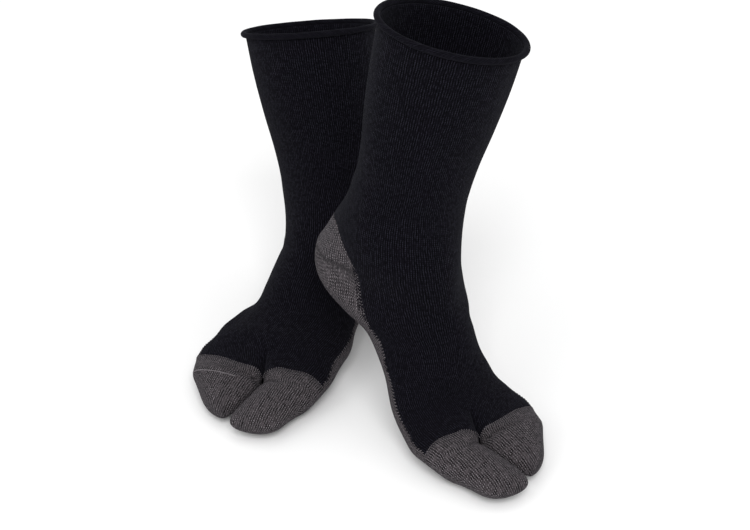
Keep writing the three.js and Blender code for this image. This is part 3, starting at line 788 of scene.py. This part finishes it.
def stitch_tree():
    tree = bpy.data.node_groups.new("stitches on a line", "GeometryNodeTree")
    tree.interface.new_socket("Line", in_out="INPUT", socket_type="NodeSocketGeometry")
    for name in STITCH_SIZES:
        tree.interface.new_socket(name, in_out="INPUT", socket_type="NodeSocketFloat")
    tree.interface.new_socket("Yarn", in_out="INPUT", socket_type="NodeSocketMaterial")
    tree.interface.new_socket("Stitches", in_out="OUTPUT", socket_type="NodeSocketGeometry")
    asked = add(tree, "NodeGroupInput").outputs

    # Points along the line, each turned so that Z is the cloth's normal and X leans off the line.
    line = add(tree, "GeometryNodeMeshToCurve", {"Mesh": asked["Line"]})
    points = add(tree, "GeometryNodeResampleCurve", {
        "Curve": line.outputs[0], "Length": asked["Spacing"],
    }, mode="LENGTH")
    normal = add(tree, "GeometryNodeInputNamedAttribute", {"Name": "skin_normal"},
                 data_type="FLOAT_VECTOR")
    along = add(tree, "GeometryNodeInputTangent")
    facing = add(tree, "FunctionNodeAxesToRotation", {
        "Primary Axis": normal.outputs["Attribute"], "Secondary Axis": along.outputs[0],
    }, primary_axis="Z", secondary_axis="X")
    least = add(tree, "ShaderNodeMath", {0: 1.0, 1: asked["Unevenness"]}, operation="SUBTRACT")
    most = add(tree, "ShaderNodeMath", {0: 1.0, 1: asked["Unevenness"]}, operation="ADD")
    uneven = add(tree, "FunctionNodeRandomValue", {2: least.outputs[0], 3: most.outputs[0], "Seed": 7},
                 data_type="FLOAT")
    slant = add(tree, "ShaderNodeMath", {0: asked["Lean"], 1: uneven.outputs[1]}, operation="MULTIPLY")
    slant_axes = add(tree, "ShaderNodeCombineXYZ", {"Z": slant.outputs[0]})
    leaning = add(tree, "FunctionNodeRotateRotation", {
        "Rotation": facing.outputs[0], "Rotate By": slant_axes.outputs[0],
    }, rotation_space="LOCAL")

    # One stitch: an arch of yarn whose ends dip into the cloth.
    half = add(tree, "ShaderNodeMath", {0: asked["Length"], 1: 0.5}, operation="MULTIPLY")
    back = add(tree, "ShaderNodeMath", {0: asked["Length"], 1: -0.5}, operation="MULTIPLY")
    dip = add(tree, "ShaderNodeMath", {0: asked["Thickness"], 1: -0.6}, operation="MULTIPLY")
    start = add(tree, "ShaderNodeCombineXYZ", {"X": back.outputs[0], "Z": dip.outputs[0]})
    crown = add(tree, "ShaderNodeCombineXYZ", {"Z": asked["Height"]})
    end = add(tree, "ShaderNodeCombineXYZ", {"X": half.outputs[0], "Z": dip.outputs[0]})
    arch = add(tree, "GeometryNodeCurveQuadraticBezier", {
        "Resolution": 4, "Start": start.outputs[0], "Middle": crown.outputs[0], "End": end.outputs[0],
    })
    radius = add(tree, "ShaderNodeMath", {0: asked["Thickness"], 1: 0.5}, operation="MULTIPLY")
    yarn_round = add(tree, "GeometryNodeCurvePrimitiveCircle", {
        "Resolution": 6, "Radius": radius.outputs[0],
    })
    stitch = add(tree, "GeometryNodeCurveToMesh", {
        "Curve": arch.outputs[0], "Profile Curve": yarn_round.outputs[0], "Fill Caps": True,
    })

    placed = add(tree, "GeometryNodeInstanceOnPoints", {
        "Points": points.outputs[0], "Instance": stitch.outputs[0],
        "Rotation": leaning.outputs[0], "Scale": uneven.outputs[1],
    })
    real = add(tree, "GeometryNodeRealizeInstances", {"Geometry": placed.outputs[0]})
    soft = add(tree, "GeometryNodeSetShadeSmooth", {"Geometry": real.outputs[0]})
    dyed = add(tree, "GeometryNodeSetMaterial", {"Geometry": soft.outputs[0], "Material": asked["Yarn"]})
    add(tree, "NodeGroupOutput", {"Stitches": dyed.outputs[0]})
    return tree


SEWING = stitch_tree()
print(len(SEWING.nodes), "nodes in", SEWING.name)

# %% [markdown]
# A line to sew on is a chain of edges on the skin, with the skin's normal kept at every point as an
# attribute.

# %% Lines on the skin
def skin_line(sock, course, angle, proud=0.1):
    """Points on the sock's skin, creases included, with their normals."""
    course, angle = np.broadcast_arrays(np.asarray(course, float), np.asarray(angle, float))
    normals = skin_normals(sock, course, angle)
    lift = proud - crease_depth(sock, course, angle)
    return fabric(course, angle, POSES[sock]) + normals * lift[..., None], normals


def side_line(sock, side, start, end, across):
    """The colour join down one side of the foot, moved across it by some millimetres."""
    course = np.linspace(start, end, 90)
    return skin_line(sock, course, side * (side_angle(course) + across / MM_PER_DEGREE))


CHAIN_FROM = 0.5  # only a seam whose ridge is higher than this shows its chain, mm
CHAINED = (-22, 72)  # the arc over the top of the pocket, in degrees, where the seam's chain shows


def linked_line(sock, name):
    """The ridge of the linked seam over a toe pocket."""
    pose, pocket, seam = POSES[sock], POCKETS[name], linked_seam(sock, name)
    u, turn = np.meshgrid(np.linspace(0, 0.9, 160), np.linspace(*CHAINED, 90), indexing="ij")
    ahead = past_seam(seam, pocket_skin(pocket, u, turn, pose)[0])
    at = np.array([np.interp(0, column, u[:, 0]) for column in ahead.T])
    normals = pocket_normals(pocket, at, turn[0], pose)
    return pocket_skin(pocket, at, turn[0], pose)[1] + normals * (seam["ridge"] + 0.05), normals


print("chained seams:", [row[:2] for row in LINKED_SEAMS if row[4] > CHAIN_FROM])


def sewn(name, lines, yarn, sizes):
    """Stitches on some lines, as one plain mesh."""
    points = np.concatenate([line[0] for line in lines])
    normals = np.concatenate([line[1] for line in lines])
    edges, first = [], 0
    for line in lines:
        edges += [(first + k, first + k + 1) for k in range(len(line[0]) - 1)]
        first += len(line[0])
    mesh = bpy.data.meshes.new(name)
    mesh.from_pydata(((points - ORIGIN) * MM).tolist(), edges, [])
    layer = mesh.attributes.new("skin_normal", "FLOAT_VECTOR", "POINT")
    layer.data.foreach_set("vector", normals.astype(np.float32).ravel())
    piece = bpy.data.objects.new(name, mesh)
    bpy.context.scene.collection.objects.link(piece)
    sewing = piece.modifiers.new("stitches", "NODES")
    sewing.node_group = SEWING
    inputs = [item for item in SEWING.interface.items_tree if item.in_out == "INPUT"]
    sockets = {item.name: item.identifier for item in inputs}
    for size, value in sizes.items():
        scale = {"Lean": math.radians(1), "Unevenness": 1}.get(size, MM)
        sewing[sockets[size]] = float(value * scale)
    sewing[sockets["Yarn"]] = yarn
    depsgraph = bpy.context.evaluated_depsgraph_get()
    made = bpy.data.meshes.new_from_object(piece.evaluated_get(depsgraph), depsgraph=depsgraph)
    piece.modifiers.clear()
    piece.data = made
    made.name = name
    print(name, len(made.polygons), "faces")
    return piece


# %% [markdown]
# The stitches are spun from the same two yarns. A strand is far smaller than a wale, so its own twist
# can't be seen: the finish is the yarn's colour with a soft mottle.

# %% The yarns and the stitches
def strand(name, colour, light):
    material = bpy.data.materials.new(name)
    material.use_nodes = True
    tree = material.node_tree
    tree.nodes.clear()
    place = add(tree, "ShaderNodeTexCoord")
    mottle = add(tree, "ShaderNodeTexNoise", {"Vector": place.outputs["Object"], "Scale": 1 / (1.5 * MM)})
    shade = add(tree, "ShaderNodeValToRGB", {0: mottle.outputs["Fac"]})
    shade.color_ramp.elements[0].color, shade.color_ramp.elements[1].color = linear(colour), linear(light)
    cloth = add(tree, "ShaderNodeBsdfPrincipled", {
        "Base Color": shade.outputs[0], "Roughness": 0.95, "Specular IOR Level": 0.05,
    })
    add(tree, "ShaderNodeOutputMaterial", {"Surface": cloth.outputs[0]})
    return material


black_strand = strand("black cotton strand", "08070a", "17161c")
grey_strand = strand("charcoal cotton strand", "464244", "7f7a7e")

FLOATS = {"Spacing": 2.2, "Length": 2.4, "Height": 0.8, "Thickness": 1.0, "Lean": 42, "Unevenness": 0.3}
SMALL_FLOATS = {**FLOATS, "Length": 1.6, "Height": 0.6, "Thickness": 0.8}
DOTS = {"Spacing": 2.1, "Length": 0.9, "Height": 0.4, "Thickness": 0.5, "Lean": 60, "Unevenness": 0.35}
LINKS = {"Spacing": 1.6, "Length": 0.9, "Height": 0.2, "Thickness": 0.45, "Lean": 80, "Unevenness": 0.2}
CHAIN = {"Spacing": 1.5, "Length": 1.9, "Height": 0.35, "Thickness": 0.6, "Lean": 12, "Unevenness": 0.1}
BOLD_TO = 226  # the floats are long from the heel's corner down to this course, and short from there on
SEWN = [  # name, first course, last course, mm from the join into the grey, yarn, sizes
    ("black_floats", HEEL_CORNER + 1, BOLD_TO, 0.45, black_strand, FLOATS),
    ("black_floats_2", HEEL_CORNER + 2, 204, 2.1, black_strand, SMALL_FLOATS),
    ("small_black_floats", BOLD_TO + 1, CROTCH - 2, 0.3, black_strand, SMALL_FLOATS),
    ("grey_dots", HEEL_CORNER + 2, CROTCH - 3, 0, grey_strand, DOTS),
    ("grey_dots_2", HEEL_CORNER + 3, BOLD_TO, 1.3, grey_strand, DOTS),
]

stitches = {}
for sock in POSES:
    for name, start, end, across, yarn, sizes in SEWN:
        lines = [side_line(sock, side, start, end, across) for side in (-1, 1)]
        stitches[sock, name] = sewn(f"{sock}_{name}", lines, yarn, sizes)
    toe_links = skin_line(sock, CROTCH - 0.2, np.linspace(-71, 71, 150), proud=0)
    stitches[sock, "grey_links"] = sewn(f"{sock}_grey_links", [toe_links], grey_strand, LINKS)
    linked = [linked_line(sock, name) for name in POCKETS if linked_seam(sock, name)["ridge"] > CHAIN_FROM]
    if linked:
        stitches[sock, "grey_chain"] = sewn(f"{sock}_grey_chain", linked, grey_strand, CHAIN)

# %% [markdown]
# ## The studio
# A pale floor under the soles, an even white surround, and two large soft lights. The camera looks
# slightly down at the pair, from the front.

# %% Floor, lights and camera
floor_mesh = bpy.data.meshes.new("floor")
FLOOR_HALF, FLOOR_DROP = 9, 0.0004  # the drop keeps the floor clear of the soles, m
corners = [(-1, -1), (1, -1), (1, 1), (-1, 1)]
floor_points = [(x * FLOOR_HALF, y * FLOOR_HALF, FLOOR_Z - FLOOR_DROP) for x, y in corners]
floor_mesh.from_pydata(floor_points, [], [(0, 1, 2, 3)])
floor = bpy.data.objects.new("floor", floor_mesh)
bpy.context.scene.collection.objects.link(floor)
paper = bpy.data.materials.new("matt white paper")
paper.use_nodes = True
paper.node_tree.nodes["Principled BSDF"].inputs["Base Color"].default_value = linear("f4f4f4")
paper.node_tree.nodes["Principled BSDF"].inputs["Roughness"].default_value = 1
paper.node_tree.nodes["Principled BSDF"].inputs["Specular IOR Level"].default_value = 0
floor_mesh.materials.append(paper)

world = bpy.data.worlds.new("white surround")
world.use_nodes = True
world.node_tree.nodes["Background"].inputs["Color"].default_value = (1, 1, 1, 1)
world.node_tree.nodes["Background"].inputs["Strength"].default_value = 0.85
bpy.context.scene.world = world

LIGHTS = [  # name, place in m, size in m, watts
    ("key softbox", (0.1, -3.4, 3.2), 2.4, 134),
    ("fill softbox", (-2.4, -2.2, 1.8), 1.6, 16),
]
for name, place, size, watts in LIGHTS:
    lamp = bpy.data.lights.new(name, "AREA")
    lamp.size = size
    lamp.energy = watts
    light = bpy.data.objects.new(name, lamp)
    light.location = place
    light.rotation_euler = (Vector((0, 0, -0.15)) - Vector(place)).to_track_quat("-Z", "Y").to_euler()
    bpy.context.scene.collection.objects.link(light)

CAMERA_TILT, CAMERA_AWAY, LENS = 29.3, 1.073, 79.2
AIM_HEIGHT = 98.6  # above the floor, mm
look = Vector((0, math.cos(math.radians(CAMERA_TILT)), -math.sin(math.radians(CAMERA_TILT))))
aim = Vector((-ORIGIN[0], -ORIGIN[1], AIM_HEIGHT - ORIGIN[2])) * MM
camera = bpy.data.objects.new("camera", bpy.data.cameras.new("camera"))
camera.data.lens = LENS
camera.location = aim - look * CAMERA_AWAY
camera.rotation_euler = (math.radians(90 - CAMERA_TILT), 0, 0)
bpy.context.scene.collection.objects.link(camera)
bpy.context.scene.camera = camera
bpy.context.scene.view_settings.view_transform = "Standard"
print("camera", round(CAMERA_AWAY, 3), "m away,", CAMERA_TILT, "degrees down")

# %% [markdown]
# ## What each piece stands for
# Each knitted piece hides its plain solid and rides on the one body, and the stitches ride on it too. A
# worn sock is stretched over the foot, and how far isn't known, so the pocket sizes listed below are round
# and along the sock as it is worn.


def settle(piece, node):
    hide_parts(node)
    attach(piece, "root")


POCKET_CUTS = {"big": (0.131, 0.066, 0.004), "four": (0.116, 0.071, 0.0047)}
for sock in POSES:
    settle(legs[sock], f"{sock}_leg")
    settle(hem_rolls[sock], f"{sock}_hem_roll")
    settle(heel_soles[sock], f"{sock}_heel_sole")
    for (stitched, name), piece in stitches.items():
        if stitched == sock:
            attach(piece, "root")
    for name, cut in POCKET_CUTS.items():
        pocket = toe_pockets[sock, name]
        settle(pocket, f"{sock}_toe_{name}")
